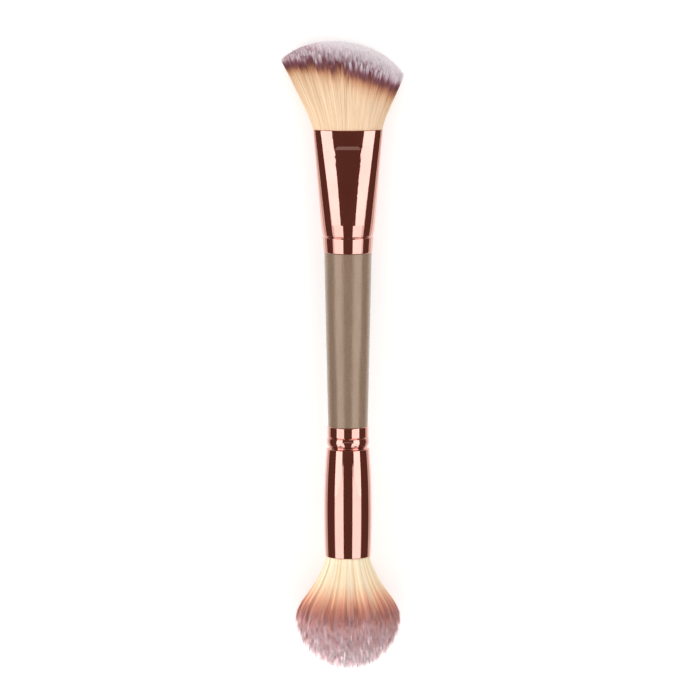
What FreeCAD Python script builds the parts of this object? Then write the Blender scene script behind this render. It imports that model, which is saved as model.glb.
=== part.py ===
import FreeCAD, Part
import math
import os
import re
import Sketcher

# A double ended make-up brush. One wooden handle carries two metal ferrules. The contour
# ferrule is a round tube pressed to an oval mouth and holds a slanted, domed head. The
# powder ferrule is a slightly barrelled round tube and holds a large round head. Each head
# is a bundle of fibres whose roots sit in the ferrule on a disc of set glue.
#
# Each piece is drawn about its own Z axis. On both sides of the handle that axis points
# away from the handle, so a ferrule starts at 0 where it meets the handle, and a head
# starts at 0 where it leaves the ferrule's mouth, with its roots below 0.
# The finished brush lies on a table: +Y runs from the powder head to the contour head,
# +Z is up, and the origin is below the middle of the brush.

DOC = FreeCAD.newDocument("double_ended_brush")
SHEET = DOC.addObject("Spreadsheet::Sheet", "Sizes")

# name, millimetres or degrees or count, what it measures
SIZES = (
    ("grip_length", 53.75, "bare handle between the two ferrules"),
    ("slim_radius", 6.1, "handle where it meets the powder ferrule"),
    ("wide_radius", 7.28, "handle where it meets the contour ferrule"),
    ("tenon_length", 12.0, "turned peg at each end of the handle, inside its ferrule"),
    ("tenon_chamfer", 0.8, "bevel at the end of each peg"),
    ("glue_gap", 0.05, "glue film between a ferrule and what is inside it"),
    ("ferrule_wall", 0.5, "sheet thickness of both ferrules"),
    ("rim_round", 0.2, "rounding of the mouth's two edges"),
    ("collar_round", 0.35, "rounding of each ferrule's outer edge at the handle"),
    ("powder_ferrule_length", 40.6, "powder ferrule from handle to mouth"),
    ("powder_collar_radius", 6.35, "outside of the band next to the handle"),
    ("powder_band_length", 3.15, "straight band next to the handle"),
    ("narrow_groove_width", 0.6, "first crimp, pressed into the handle's peg"),
    ("narrow_groove_depth", 0.25, "first crimp"),
    ("powder_bead_length", 2.05, "raised ring between the two crimps"),
    ("powder_bead_rise", 0.17, "height of that ring"),
    ("wide_groove_width", 1.45, "second crimp, pressed into the handle's peg"),
    ("wide_groove_depth", 0.45, "second crimp"),
    ("barrel_start_radius", 6.6, "outside of the tube just past the second crimp"),
    ("barrel_widest_radius", 7.38, "outside of the tube where it is widest"),
    ("barrel_widest_station", 26.0, "from the handle to the widest place"),
    ("powder_mouth_radius", 7.05, "outside of the tube at its mouth"),
    ("contour_ferrule_length", 37.8, "contour ferrule from handle to mouth"),
    ("collar_base_radius", 7.5, "outside of the collar next to the handle"),
    ("collar_top_radius", 7.82, "outside of the collar at the crimp"),
    ("collar_length", 4.65, "collar next to the handle"),
    ("crimp_width", 0.9, "crimp between collar and bead"),
    ("crimp_depth", 0.25, "crimp between collar and bead"),
    ("contour_bead_length", 3.4, "swelling above the crimp"),
    ("contour_bead_rise", 0.05, "how far the swelling stands out of a straight cone"),
    ("neck_radius", 8.3, "outside of the round tube where the pressed part starts"),
    ("mouth_half_width", 10.7, "outside of the oval, long half axis"),
    ("mouth_half_depth", 5.5, "outside of the oval, short half axis"),
    ("crease_station", 4.8, "from the mouth to the crease that ends each flattened face"),
    ("crease_step", 0.1, "step at that crease"),
    ("flat_depth", 0.2, "how far each broad face is pressed in, just below the crease"),
    ("flat_ramp", 1.9, "length over which the face rises to the crease"),
    ("flat_radius", 27.6, "curve across each flattened face"),
    ("plug_length", 6.0, "disc of set glue behind the roots"),
    ("powder_root_length", 18.0, "fibres inside the powder ferrule"),
    ("contour_root_length", 18.0, "fibres inside the contour ferrule"),
    ("powder_head_length", 35.6, "mouth to tip"),
    ("powder_splay", 17.0, "angle at which the outer fibres leave the mouth"),
    ("powder_flare_radius", 38.0, "hollow curve of the head above the mouth"),
    ("powder_shoulder_radius", 10.0, "curve where the head is turned in"),
    ("powder_crown_radius", 16.1, "ball shaped end of the head"),
    ("powder_lock_count", 26, "locks round the head"),
    ("powder_furrow_width", 0.9, "gap between locks at the widest place"),
    ("powder_ring_radius", 8.0, "the furrows run out on this ring round the tip"),
    ("furrow_depth", 0.4, "gap between locks, both heads"),
    ("contour_head_length", 27.4, "mouth to the highest point of the crown"),
    ("contour_left_splay", 26.1, "lean of the long side of the head"),
    ("contour_right_splay", 23.0, "lean of the short side of the head"),
    ("contour_head_depth", 9.3, "half the thickness of the head where it is thickest"),
    ("contour_depth_station", 19.5, "from the mouth to the thickest place"),
    ("crown_half_width", 21.25, "long half axis of the domed crown"),
    ("crown_half_height", 14.55, "short half axis of the domed crown"),
    ("crown_side_shift", 2.53, "crown's middle, to the long side of the brush axis"),
    ("crown_slant", 6.9, "how far the crown leans down to the short side"),
    ("contour_furrow_count", 16, "furrows across the head, front and back"),
    ("contour_furrow_angle", 0.7, "spread of one furrow, seen from where the fibres fan out"),
    ("rest_flat", 0.3, "how far the fibres give way where a head lies on the table"),
)

# lengths that follow from the sizes above
DERIVED = {
    "slim_tenon": "powder_collar_radius - ferrule_wall - glue_gap",
    "wide_tenon": "collar_base_radius - ferrule_wall - glue_gap",
    "narrow_groove_end": "powder_band_length + narrow_groove_width",
    "powder_bead_end": "narrow_groove_end + powder_bead_length",
    "wide_groove_end": "powder_bead_end + wide_groove_width",
    "crimp_end": "collar_length + crimp_width",
    "neck_end": "crimp_end + contour_bead_length",
    "cone_length": "contour_ferrule_length - neck_end",
    "crease_height": "contour_ferrule_length - crease_station",
    "ramp_height": "crease_height - flat_ramp",
    "fibre_half_width": "mouth_half_width - ferrule_wall - glue_gap",
    "fibre_half_depth": "mouth_half_depth - ferrule_wall - glue_gap",
    "powder_fibre_radius": "powder_mouth_radius - ferrule_wall - glue_gap",
    "crown_rise": "sqrt((crown_half_width * sin(crown_slant))^2"
                  " + (crown_half_height * cos(crown_slant))^2)",
    "crown_middle": "contour_head_length - crown_rise",
    "crown_half_depth": "contour_head_depth"
                        " / sqrt(1 - ((contour_depth_station - crown_middle) / crown_half_height)^2)",
    "fan_apex_depth": "2 * fibre_half_width / (tan(contour_left_splay) + tan(contour_right_splay))",
    "fan_apex_shift": "fibre_half_width - fan_apex_depth * tan(contour_right_splay)",
    "ring_height": "powder_head_length - powder_crown_radius"
                   " + sqrt(powder_crown_radius^2 - powder_ring_radius^2)",
    "fan_top": "contour_head_length + 2 * furrow_depth",
    "flare_middle_across": "powder_fibre_radius + powder_flare_radius * cos(powder_splay)",
    "flare_middle_down": "powder_flare_radius * sin(powder_splay)",
}

for row, (alias, number, note) in enumerate(SIZES, start=1):
    SHEET.set(f"A{row}", alias)
    SHEET.set(f"B{row}", str(number))
    SHEET.setAlias(f"B{row}", alias)
    SHEET.set(f"C{row}", note)
DOC.recompute()
ALIASES = {alias for alias, number, note in SIZES}


def formula(text):
    """Turns names of sizes and of derived lengths into references to the sheet."""
    def reference(match):
        word = match.group(0)
        if word in DERIVED:
            return "(" + formula(DERIVED[word]) + ")"
        return "Sizes." + word if word in ALIASES else word
    return re.sub(r"[a-z_]{2,}", reference, text)


def size(text):
    """The number that a name or a formula stands for now."""
    found = SHEET.evalExpression(formula(text))
    return float(getattr(found, "Value", found))


def new_body(name):
    body = DOC.addObject("PartDesign::Body", name)
    body.Label = name
    return body


def new_sketch(body, name, role="XZ_Plane", height=None):
    """A sketch on one of the body's own planes, or that far above it."""
    sketch = body.newObject("Sketcher::SketchObject", name)
    plane = next(item for item in body.Origin.OriginFeatures if item.Role == role)
    sketch.AttachmentSupport = [(plane, "")]
    sketch.MapMode = "FlatFace"
    if height is not None:
        sketch.setExpression("AttachmentOffset.Base.z", formula(height))
    return sketch


def dimension(sketch, kind, parts, text, name):
    """Adds one measured constraint and ties it to the sheet."""
    index = sketch.addConstraint(Sketcher.Constraint(kind, *parts, size(text)))
    sketch.renameConstraint(index, name)
    sketch.setExpression("Constraints." + name, formula(text))


def pin_point(sketch, edge, end, across, up, name):
    """Holds one point at a distance across and up from the sketch's origin."""
    if across == "0":
        sketch.addConstraint(Sketcher.Constraint("PointOnObject", edge, end, -2))
    else:
        dimension(sketch, "DistanceX", (-1, 1, edge, end), across, name + "_across")
    if up == "0":
        sketch.addConstraint(Sketcher.Constraint("PointOnObject", edge, end, -1))
    else:
        dimension(sketch, "DistanceY", (-1, 1, edge, end), up, name + "_up")


def add_arc(sketch, middle, start, end, left_turn):
    """Adds an arc from start to end. Returns its index and which of its ends is which."""
    first, last = (start, end) if left_turn else (end, start)
    circle = Part.Circle(middle, FreeCAD.Vector(0, 0, 1), (start - middle).Length)
    angles = [math.atan2(p.y - middle.y, p.x - middle.x) for p in (first, last)]
    index = sketch.addGeometry(Part.ArcOfCircle(circle, *angles), False)
    return (index, 1, 2) if left_turn else (index, 2, 1)


def outline(sketch, corners, arcs=()):
    """Closed outline through the corners, each held at (across, up). The edge that starts
    at corner number n is straight, or an arc where arcs has n: (radius, left_turn)."""
    arcs = dict(arcs)
    points = [FreeCAD.Vector(size(across), size(up), 0) for across, up in corners]
    edges = []
    for number, start in enumerate(points):
        end = points[(number + 1) % len(points)]
        if number in arcs:
            radius, left_turn = arcs[number]
            half = (end - start) * 0.5
            rise = math.sqrt(size(radius) ** 2 - half.Length ** 2) / half.Length
            side = FreeCAD.Vector(-half.y, half.x, 0) * (rise if left_turn else -rise)
            edges.append(add_arc(sketch, start + half + side, start, end, left_turn))
        else:
            edges.append((sketch.addGeometry(Part.LineSegment(start, end), False), 1, 2))
    for number, (edge, first, last) in enumerate(edges):
        following, its_first, _ = edges[(number + 1) % len(edges)]
        sketch.addConstraint(Sketcher.Constraint("Coincident", edge, last, following, its_first))
        pin_point(sketch, edge, first, *corners[number], f"corner{number}")
        if number in arcs:
            dimension(sketch, "Radius", (edge,), arcs[number][0], f"radius{number}")
    return sketch


def oval(body, name, height, half_width, half_depth, shift="0"):
    """A level oval, long axis along X, at a height above the body's origin."""
    sketch = new_sketch(body, name, "XY_Plane", height)
    middle = FreeCAD.Vector(size(shift), 0, 0)
    edge = sketch.addGeometry(Part.Ellipse(middle, size(half_width), size(half_depth)), False)
    sketch.exposeInternalGeometry(edge)
    long_axis, short_axis = edge + 1, edge + 2
    sketch.addConstraint(Sketcher.Constraint("Horizontal", long_axis))
    pin_point(sketch, edge, 3, shift, "0", "middle")
    dimension(sketch, "Distance", (long_axis,), f"2 * ({half_width})", "width")
    dimension(sketch, "Distance", (short_axis,), f"2 * ({half_depth})", "depth")
    return sketch


def ring(body, name, height, radius):
    """A level circle about the axis, at a height above the body's origin."""
    sketch = new_sketch(body, name, "XY_Plane", height)
    middle = FreeCAD.Vector(0, 0, 0)
    circle = Part.Circle(middle, FreeCAD.Vector(0, 0, 1), size(radius))
    edge = sketch.addGeometry(circle, False)
    pin_point(sketch, edge, 3, "0", "0", "middle")
    dimension(sketch, "Radius", (edge,), radius, "radius")
    return sketch


def feature(body, kind, name, profile, **values):
    """Adds a PartDesign feature. A value given as text is a formula, tied to the sheet."""
    item = body.newObject("PartDesign::" + kind, name)
    if profile is not None:
        item.Profile = profile
    for key, value in values.items():
        if isinstance(value, str):
            item.setExpression(key, formula(value))
        else:
            setattr(item, key, value)
    return item


def turned(body, name, sketch):
    """Turns an outline about the body's axis."""
    return feature(body, "Revolution", name, sketch, ReferenceAxis=(sketch, ["V_Axis"]), Angle=360.0)


def lofted(body, kind, name, sections):
    """Straight sided loft through level sections."""
    return feature(body, kind, name, sections[0], Sections=sections[1:], Ruled=True)


def round_edges(body, name, heights, radius):
    """Rounds the edges that lie level at the given heights."""
    DOC.recompute()
    levels = [size(height) for height in heights]
    names = []
    for number, edge in enumerate(body.Shape.Edges, start=1):
        box = edge.BoundBox
        if any(abs(box.ZMin - level) < 1e-4 and abs(box.ZMax - level) < 1e-4 for level in levels):
            names.append(f"Edge{number}")
    return feature(body, "Fillet", name, None, Base=(body.Tip, names), Radius=radius)


def dip_radius(width, depth):
    """Radius of an arc as wide and as deep as a crimp."""
    return f"(({width})^2 / 4 + ({depth})^2) / (2 * ({depth}))"


def barrel_radius(station, widest):
    """Radius of the barrelled tube between the second crimp and its widest place."""
    curve = dip_radius("2 * (barrel_widest_station - wide_groove_end)",
                       "barrel_widest_radius - barrel_start_radius")
    return f"{widest} - ({curve}) + sqrt(({curve})^2 - (barrel_widest_station - ({station}))^2)"


# Handle: one turned piece with a peg at each end. The peg on the slim end has the two
# furrows that the crimps of the powder ferrule press into it.
handle = new_body("handle")
handle_outline = outline(new_sketch(handle, "handle_outline"), (
    ("0", "-tenon_length"),
    ("slim_tenon - tenon_chamfer", "-tenon_length"),
    ("slim_tenon", "tenon_chamfer - tenon_length"),
    ("slim_tenon", "-(wide_groove_end)"),
    ("slim_tenon", "-(powder_bead_end)"),
    ("slim_tenon", "-(narrow_groove_end)"),
    ("slim_tenon", "-powder_band_length"),
    ("slim_tenon", "0"),
    ("slim_radius", "0"),
    ("wide_radius", "grip_length"),
    ("wide_tenon", "grip_length"),
    ("wide_tenon", "grip_length + tenon_length - tenon_chamfer"),
    ("wide_tenon - tenon_chamfer", "grip_length + tenon_length"),
    ("0", "grip_length + tenon_length"),
), {
    3: (dip_radius("wide_groove_width", "wide_groove_depth"), False),
    5: (dip_radius("narrow_groove_width", "narrow_groove_depth"), False),
})
turned(handle, "handle_turned", handle_outline)

def rolled_crimp(near, far, start, width, depth):
    """Outer corners and arcs of a crimp. Each side turns in and levels out at the bottom."""
    rise = f"({depth} + {far} - {near})"
    inward = f"(({width} / 4)^2 + ({depth} / 2)^2) / {depth}"
    outward = f"(({width} / 4)^2 + ({rise} / 2)^2) / {rise}"
    return [
        (near, start, (inward, True)),
        (f"{near} - {depth} / 2", f"{start} + {width} / 4", (inward, False)),
        (f"{near} - {depth}", f"{start} + {width} / 2", (outward, False)),
        (f"{near} - {depth} + {rise} / 2", f"{start} + {width} * 3 / 4", (outward, True)),
    ]


def tube(body, name, outside, inside):
    """Turns a tube. Its outside is listed from the handle up, its inside from the mouth down,
    as (radius, station, arc to the next corner or None). The inside is less the wall."""
    corners = [(radius, station) for radius, station, arc in outside]
    corners += [(radius + " - ferrule_wall", station) for radius, station, arc in inside]
    arcs = {number: arc for number, (_, _, arc) in enumerate(outside + inside) if arc}
    turned(body, name + "_turned", outline(new_sketch(body, name + "_outline"), corners, arcs))


# Powder ferrule: a spun tube of even wall. From the handle: band, crimp, bead, crimp, barrel.
powder_ferrule = new_body("powder_ferrule")
narrow_dip = dip_radius("narrow_groove_width", "narrow_groove_depth")
bead = dip_radius("powder_bead_length", "powder_bead_rise")
wide_dip = dip_radius("wide_groove_width", "wide_groove_depth")
barrel = dip_radius("2 * (barrel_widest_station - wide_groove_end)",
                    "barrel_widest_radius - barrel_start_radius")
taper = dip_radius("2 * (powder_ferrule_length - barrel_widest_station)",
                   "barrel_widest_radius - powder_mouth_radius")
tube(powder_ferrule, "tube", [
    ("powder_collar_radius - collar_round", "0", ("collar_round", True)),
    ("powder_collar_radius", "collar_round", None),
    *rolled_crimp("powder_collar_radius", "powder_collar_radius", "powder_band_length",
                  "narrow_groove_width", "narrow_groove_depth"),
    ("powder_collar_radius", "narrow_groove_end", (bead, True)),
    *rolled_crimp("powder_collar_radius", "barrel_start_radius", "powder_bead_end",
                  "wide_groove_width", "wide_groove_depth"),
    ("barrel_start_radius", "wide_groove_end", (barrel, True)),
    ("barrel_widest_radius", "barrel_widest_station", (taper, True)),
    ("powder_mouth_radius", "powder_ferrule_length", None),
], [
    ("powder_mouth_radius", "powder_ferrule_length", (taper, False)),
    ("barrel_widest_radius", "barrel_widest_station", (barrel, False)),
    ("barrel_start_radius", "wide_groove_end", (wide_dip, True)),
    ("powder_collar_radius", "powder_bead_end", (bead, False)),
    ("powder_collar_radius", "narrow_groove_end", (narrow_dip, True)),
    ("powder_collar_radius", "powder_band_length", None),
    ("powder_collar_radius", "0", None),
])
round_edges(powder_ferrule, "powder_rim", ("powder_ferrule_length",), "rim_round")

# Contour ferrule: the round tube is pressed to an oval between neck and mouth, so its sides
# are straight lines from a circle to an oval.
contour_ferrule = new_body("contour_ferrule")
lofted(contour_ferrule, "AdditiveLoft", "pressed_outside", [
    ring(contour_ferrule, "neck_outside", "neck_end", "neck_radius"),
    oval(contour_ferrule, "mouth_outside", "contour_ferrule_length",
         "mouth_half_width", "mouth_half_depth"),
])
lofted(contour_ferrule, "SubtractiveLoft", "pressed_bore", [
    ring(contour_ferrule, "neck_inside", "neck_end", "neck_radius - ferrule_wall"),
    oval(contour_ferrule, "mouth_inside", "contour_ferrule_length",
         "mouth_half_width - ferrule_wall", "mouth_half_depth - ferrule_wall"),
])
crimp_dip = dip_radius("crimp_width", "crimp_depth")
swell = dip_radius("sqrt(contour_bead_length^2 + (neck_radius - collar_top_radius)^2)",
                   "contour_bead_rise")
tube(contour_ferrule, "collar", [
    ("collar_base_radius - collar_round", "0", ("collar_round", True)),
    ("collar_base_radius", "collar_round", None),
    *rolled_crimp("collar_top_radius", "collar_top_radius", "collar_length",
                  "crimp_width", "crimp_depth"),
    ("collar_top_radius", "crimp_end", (swell, True)),
    ("neck_radius", "neck_end", None),
], [
    ("neck_radius", "neck_end", (swell, False)),
    ("collar_top_radius", "crimp_end", (crimp_dip, True)),
    ("collar_top_radius", "collar_length", None),
    ("collar_base_radius", "0", None),
])

# Each broad face is pressed a little flatter, from the neck to a crease near the mouth. The
# tool that presses it is turned about a line that runs below the face and along it.
face_slope = "((neck_radius - mouth_half_depth) / cone_length)"


def face_height(station):
    """Height of a broad face over the ferrule's axis."""
    return f"neck_radius - {face_slope} * ({station} - neck_end)"


press_tool = new_sketch(contour_ferrule, "press_tool", "YZ_Plane")
outline(press_tool, (
    ("neck_radius + flat_depth / 4", "neck_end"),
    (face_height("ramp_height") + " - flat_depth", "ramp_height"),
    (face_height("crease_height") + " - crease_step", "crease_height"),
    (face_height("crease_height") + " + flat_depth * 3", "crease_height"),
    ("neck_radius + flat_depth * 3", "neck_end"),
), {1: (dip_radius("2 * flat_ramp", "flat_depth - crease_step"), False)})
below = FreeCAD.Vector(size("neck_radius - flat_radius"), size("neck_end"), 0)
ahead = FreeCAD.Vector(size("mouth_half_depth - flat_radius"), size("contour_ferrule_length"), 0)
turning_line = press_tool.addGeometry(Part.LineSegment(below, ahead), True)
pin_point(press_tool, turning_line, 1, "neck_radius - flat_radius", "neck_end", "below")
pin_point(press_tool, turning_line, 2, "mouth_half_depth - flat_radius", "contour_ferrule_length",
          "ahead")
upper_face = feature(contour_ferrule, "Groove", "upper_face", press_tool,
                     ReferenceAxis=(press_tool, ["Axis0"]), Midplane=True,
                     Angle="mouth_half_width / flat_radius * 180 / pi")
middle_plane = next(item for item in contour_ferrule.Origin.OriginFeatures
                    if item.Role == "XZ_Plane")
both_faces = feature(contour_ferrule, "Mirrored", "both_faces", None, Originals=[upper_face],
                     MirrorPlane=(middle_plane, [""]))
contour_ferrule.Tip = both_faces
round_edges(contour_ferrule, "contour_rim", ("contour_ferrule_length",), "rim_round")

# Discs of set glue behind the roots, as wide as the bore where they sit
powder_glue_plug = new_body("powder_glue_plug")
plug_wall = "barrel_widest_radius - ferrule_wall - glue_gap"
roots_end = "powder_ferrule_length - powder_root_length"
plug_end = "powder_ferrule_length - powder_root_length - plug_length"
turned(powder_glue_plug, "plug_turned", outline(new_sketch(powder_glue_plug, "plug_outline"), (
    ("0", "-(powder_root_length + plug_length)"),
    (barrel_radius(plug_end, plug_wall), "-(powder_root_length + plug_length)"),
    (barrel_radius(roots_end, plug_wall), "-powder_root_length"),
    ("0", "-powder_root_length"),
)))


def root_oval(body, name, depth):
    """The oval of the contour ferrule's bore at a depth below its mouth, less the glue film."""
    share = f"({depth}) / (cone_length)"
    return oval(body, name, f"-({depth})",
                f"fibre_half_width - (mouth_half_width - neck_radius) * {share}",
                f"fibre_half_depth + (neck_radius - mouth_half_depth) * {share}")


contour_glue_plug = new_body("contour_glue_plug")
lofted(contour_glue_plug, "AdditiveLoft", "plug_pressed", [
    root_oval(contour_glue_plug, "plug_back", "contour_root_length + plug_length"),
    root_oval(contour_glue_plug, "plug_front", "contour_root_length"),
])


# Powder head
def head_curves(sketch, depth, to_ring):
    """The head's side from the mouth towards the tip, as three arcs that run into each other:
    a hollow flare, a shoulder and the crown. The depth sinks it below the fibres' ends."""
    across, down = size("flare_middle_across"), size("flare_middle_down")
    flare_middle = FreeCAD.Vector(across, -down, 0)
    flare = f"powder_flare_radius + {depth}"
    shoulder = f"powder_shoulder_radius - {depth}"
    crown = f"powder_crown_radius - {depth}"
    crown_up = f"ring_height - sqrt(({crown})^2 - powder_ring_radius^2)"
    crown_middle = FreeCAD.Vector(0, size(crown_up), 0)
    to_flare = size(flare) + size(shoulder)
    to_crown = size(crown) - size(shoulder)
    line = flare_middle - crown_middle
    along = (line.Length ** 2 + to_crown ** 2 - to_flare ** 2) / (2 * line.Length)
    aside = math.sqrt(to_crown ** 2 - along ** 2)
    way = FreeCAD.Vector(line).normalize()
    shoulder_middle = crown_middle + way * along + FreeCAD.Vector(-way.y, way.x, 0) * aside
    start = FreeCAD.Vector(across - math.sqrt(size(flare) ** 2 - down ** 2), 0, 0)
    turn = flare_middle + (shoulder_middle - flare_middle) * (size(flare) / to_flare)
    top = crown_middle + (shoulder_middle - crown_middle) * (size(crown) / to_crown)
    end_across = size(to_ring)
    end_up = crown_middle.y + math.sqrt(size(crown) ** 2 - end_across ** 2)
    end = FreeCAD.Vector(end_across, end_up, 0)
    flare_edge = add_arc(sketch, flare_middle, start, turn, False)
    shoulder_edge = add_arc(sketch, shoulder_middle, turn, top, True)
    crown_edge = add_arc(sketch, crown_middle, top, end, True)
    for one, other in ((flare_edge, shoulder_edge), (shoulder_edge, crown_edge)):
        sketch.addConstraint(Sketcher.Constraint("Tangent", one[0], one[2], other[0], other[1]))
    pin_point(sketch, flare_edge[0], 3, "flare_middle_across", "-(flare_middle_down)", "flare")
    pin_point(sketch, crown_edge[0], 3, "0", crown_up, "crown")
    sketch.addConstraint(Sketcher.Constraint("PointOnObject", flare_edge[0], flare_edge[1], -1))
    dimension(sketch, "Radius", (flare_edge[0],), flare, "flare_radius")
    dimension(sketch, "Radius", (shoulder_edge[0],), shoulder, "shoulder_radius")
    dimension(sketch, "Radius", (crown_edge[0],), crown, "crown_radius")
    return start, end, flare_edge, crown_edge


def close_with_lines(sketch, points, first_edge, last_edge):
    """Closes the head's curves with straight lines through the points."""
    previous, its_end = last_edge[0], last_edge[2]
    for start, end in zip(points, points[1:]):
        line = sketch.addGeometry(Part.LineSegment(start, end), False)
        sketch.addConstraint(Sketcher.Constraint("Coincident", previous, its_end, line, 1))
        previous, its_end = line, 2
    sketch.addConstraint(Sketcher.Constraint("Coincident", previous, its_end, *first_edge[:2]))
    return previous


powder_fibres = new_body("powder_fibres")
head_outline = new_sketch(powder_fibres, "head_outline")
start, end, flare_edge, crown_edge = head_curves(head_outline, "0", "0")
root = -size("powder_root_length")
last = close_with_lines(head_outline, [
    end, FreeCAD.Vector(0, root, 0), FreeCAD.Vector(start.x, root, 0), start], flare_edge, crown_edge)
head_outline.addConstraint(Sketcher.Constraint("PointOnObject", last - 2, 1, -2))
pin_point(head_outline, last - 1, 1, "0", "-powder_root_length", "root_middle")
pin_point(head_outline, last - 1, 2, "powder_fibre_radius", "-powder_root_length", "root_edge")
turned(powder_fibres, "head_turned", head_outline)
# One furrow between two locks, deepest on the flare and run out near the tip, and its copies
furrow_outline = new_sketch(powder_fibres, "furrow_outline")
start, end, flare_edge, crown_edge = head_curves(
    furrow_outline, "furrow_depth", "powder_ring_radius - furrow_depth * 4")
clear = size("powder_crown_radius + furrow_depth * 4")
last = close_with_lines(furrow_outline, [
    end, FreeCAD.Vector(clear, end.y, 0), FreeCAD.Vector(clear, 0, 0), start], flare_edge, crown_edge)
dimension(furrow_outline, "DistanceX", (-1, 1, last - 2, 1),
          "powder_ring_radius - furrow_depth * 4", "run_out")
furrow_outline.addConstraint(Sketcher.Constraint("Horizontal", last - 2))
furrow_outline.addConstraint(Sketcher.Constraint("Vertical", last - 1))
pin_point(furrow_outline, last - 1, 2, "powder_crown_radius + furrow_depth * 4", "0", "clear")
furrow = feature(powder_fibres, "Groove", "furrow", furrow_outline,
                 ReferenceAxis=(furrow_outline, ["V_Axis"]), Midplane=True,
                 Angle="powder_furrow_width / powder_crown_radius * 180 / pi")
furrows = feature(powder_fibres, "PolarPattern", "furrows", None,
                  Originals=[furrow], Axis=(furrow_outline, ["V_Axis"]), Angle=360.0,
                  Occurrences="powder_lock_count")
powder_fibres.Tip = furrows

# Contour head: the fibres fan out from the oval mouth, more to the long side, and a slanted
# dome cuts them to length.
def fan(body, depth):
    """Straight sided fan from the mouth to above the crown, sunk by a depth all round."""
    spread = "fan_top * (tan(contour_left_splay) + tan(contour_right_splay)) / 2"
    lean = "fan_top * (tan(contour_right_splay) - tan(contour_left_splay)) / 2"
    swell = "(contour_head_depth - fibre_half_depth) * fan_top / contour_depth_station"
    lofted(body, "AdditiveLoft", body.Label + "_fan", [
        oval(body, body.Label + "_mouth", "0", f"fibre_half_width - {depth}", f"fibre_half_depth - {depth}"),
        oval(body, body.Label + "_top", "fan_top", f"fibre_half_width + {spread} - {depth}",
             f"fibre_half_depth + {swell} - {depth}", lean),
    ])


fan_outside = new_body("fan_outside")
fan(fan_outside, "0")
fan_inside = new_body("fan_inside")
fan(fan_inside, "furrow_depth")

crown = DOC.addObject("Part::Ellipsoid", "crown")
for key, text in (("Radius1", "crown_half_height"), ("Radius2", "crown_half_width"),
                  ("Radius3", "crown_half_depth"), ("Placement.Base.x", "-crown_side_shift"),
                  ("Placement.Base.z", "crown_middle")):
    crown.setExpression(key, formula(text))
crown.Placement.Rotation = FreeCAD.Rotation(FreeCAD.Vector(0, 1, 0), size("crown_slant"))

# Blades that meet where the fibres would meet if they ran on below the mouth
comb = new_body("comb")
blade_reach = "fan_apex_depth + contour_head_length + crown_half_height"
hub = new_sketch(comb, "hub_outline")
hub_circle = hub.addGeometry(Part.Circle(FreeCAD.Vector(0, 0, 0), FreeCAD.Vector(0, 0, 1),
                                         size("fan_apex_depth / 4")), False)
pin_point(hub, hub_circle, 3, "0", "0", "middle")
dimension(hub, "Radius", (hub_circle,), "fan_apex_depth / 4", "radius")
feature(comb, "Pad", "hub", hub, Length="4 * contour_head_depth", Midplane=True)
blade_outline = outline(new_sketch(comb, "blade_outline"), (
    ("0", "0"),
    (f"({blade_reach}) * tan(contour_furrow_angle / 2)", blade_reach),
    (f"-({blade_reach}) * tan(contour_furrow_angle / 2)", blade_reach),
))
blade = feature(comb, "Pad", "blade", blade_outline, Length="4 * contour_head_depth", Midplane=True)
fan_angle = "(contour_left_splay + contour_right_splay)"
blades = feature(comb, "PolarPattern", "blades", None, Originals=[blade],
                 Axis=(blade_outline, ["N_Axis"]), Occurrences="contour_furrow_count",
                 Angle=f"{fan_angle} * (contour_furrow_count - 1) / contour_furrow_count")
comb.Tip = blades
DOC.recompute()
half_step = size(f"{fan_angle} / contour_furrow_count / 2")
turn = size("contour_right_splay") - half_step
comb.Placement = FreeCAD.Placement(
    FreeCAD.Vector(size("fan_apex_shift"), 0, -size("fan_apex_depth")),
    FreeCAD.Rotation(FreeCAD.Vector(0, 1, 0), turn))

domed_fan = DOC.addObject("Part::Common", "domed_fan")
domed_fan.Base, domed_fan.Tool = fan_outside, crown
furrow_cutter = DOC.addObject("Part::Cut", "furrow_cutter")
furrow_cutter.Base, furrow_cutter.Tool = comb, fan_inside
combed_fan = DOC.addObject("Part::Cut", "combed_fan")
combed_fan.Base, combed_fan.Tool = domed_fan, furrow_cutter

contour_roots = new_body("contour_roots")
lofted(contour_roots, "AdditiveLoft", "roots_pressed", [
    root_oval(contour_roots, "roots_back", "contour_root_length"),
    root_oval(contour_roots, "roots_front", "0"),
])
contour_fibres = DOC.addObject("Part::MultiFuse", "contour_fibres")
contour_fibres.Shapes = [combed_fan, contour_roots]
DOC.recompute()

# The brush lies on its two heads, so its axis slopes down from the bigger head to the
# smaller one. The lowest fibres of each head give way by rest_flat.
depth = size("contour_head_depth")
ball = size("powder_crown_radius")
mouth_to_mouth = size("powder_ferrule_length + grip_length + contour_ferrule_length")
span = size("powder_head_length - powder_crown_radius + contour_depth_station") + mouth_to_mouth
slope = math.asin(ball / math.hypot(span, depth)) - math.atan(depth / span)


def lying(distance, outward):
    """Placement of a piece whose origin is this far from the ball's middle along the axis.
    Outward is 1 on the contour side and -1 on the powder side."""
    middle_height = ball - size("rest_flat") - distance * math.sin(slope)
    angle = -outward * 90 - math.degrees(slope)
    return FreeCAD.Placement(FreeCAD.Vector(0, distance * math.cos(slope), middle_height),
                             FreeCAD.Rotation(FreeCAD.Vector(1, 0, 0), angle))


powder_mouth = size("powder_head_length - powder_crown_radius")
shoulder = powder_mouth + size("powder_ferrule_length")
far_shoulder = shoulder + size("grip_length")
contour_mouth = far_shoulder + size("contour_ferrule_length")
places = (
    (handle, shoulder, 1),
    (powder_ferrule, shoulder, -1),
    (powder_glue_plug, powder_mouth, -1),
    (powder_fibres, powder_mouth, -1),
    (contour_ferrule, far_shoulder, 1),
    (contour_glue_plug, contour_mouth, 1),
    (contour_fibres, contour_mouth, 1),
)
for piece, distance, outward in places:
    piece.Placement = lying(distance, outward)

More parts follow.
